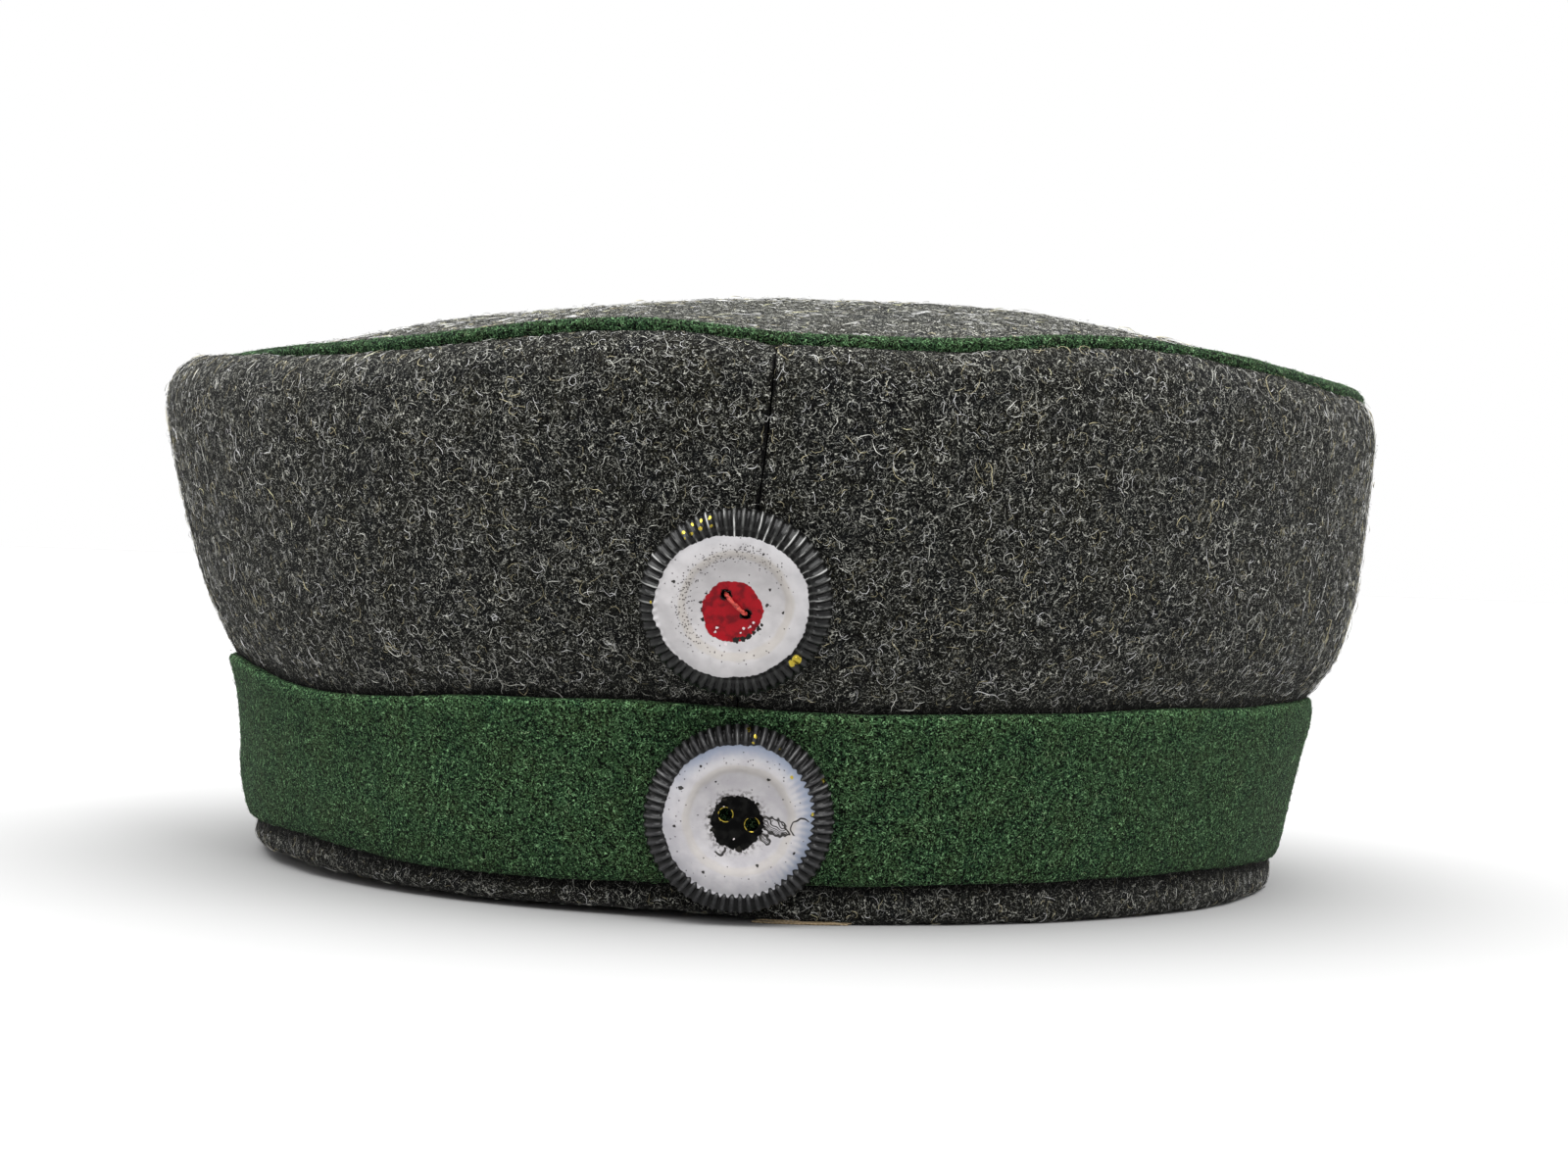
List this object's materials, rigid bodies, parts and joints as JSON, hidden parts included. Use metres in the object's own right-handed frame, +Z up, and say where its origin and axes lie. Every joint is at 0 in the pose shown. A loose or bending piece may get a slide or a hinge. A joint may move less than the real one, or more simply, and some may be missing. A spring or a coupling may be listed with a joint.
{
  "type": "forage cap",
  "caption": "Peakless wool forage cap with a flared domed crown, coloured band, piped seam and painted metal cockades on the front.",
  "frame": {"origin": "centre of the rim's resting plane, on the cap's axis", "axes": "+Z up along the cap's axis, front with the cockades to -Y, wearer's left to +X"},
  "size_m": [0.2213, 0.2352, 0.1023],
  "materials": {
    "grey_wool": "milled grey-green wool with short curly fibres",
    "green_wool": "fine green felted wool",
    "lining_cotton": "plain woven tan cotton",
    "cockade_paint": "hand-painted pressed brass, black fluted edge and white ring",
    "sewing_thread": "thread painted over with red"
  },
  "bodies": {
    "root": {"crown_top": "grey_wool", "crown_piping": "green_wool", "crown_panel_right": "grey_wool", "crown_panel_left": "grey_wool", "base_with_rim": "grey_wool", "hat_band": "green_wool", "lining_strip": "lining_cotton", "cockade_upper": "cockade_paint", "cockade_thread": "sewing_thread", "cockade_lower": "cockade_paint"}
  },
  "joints": []
}
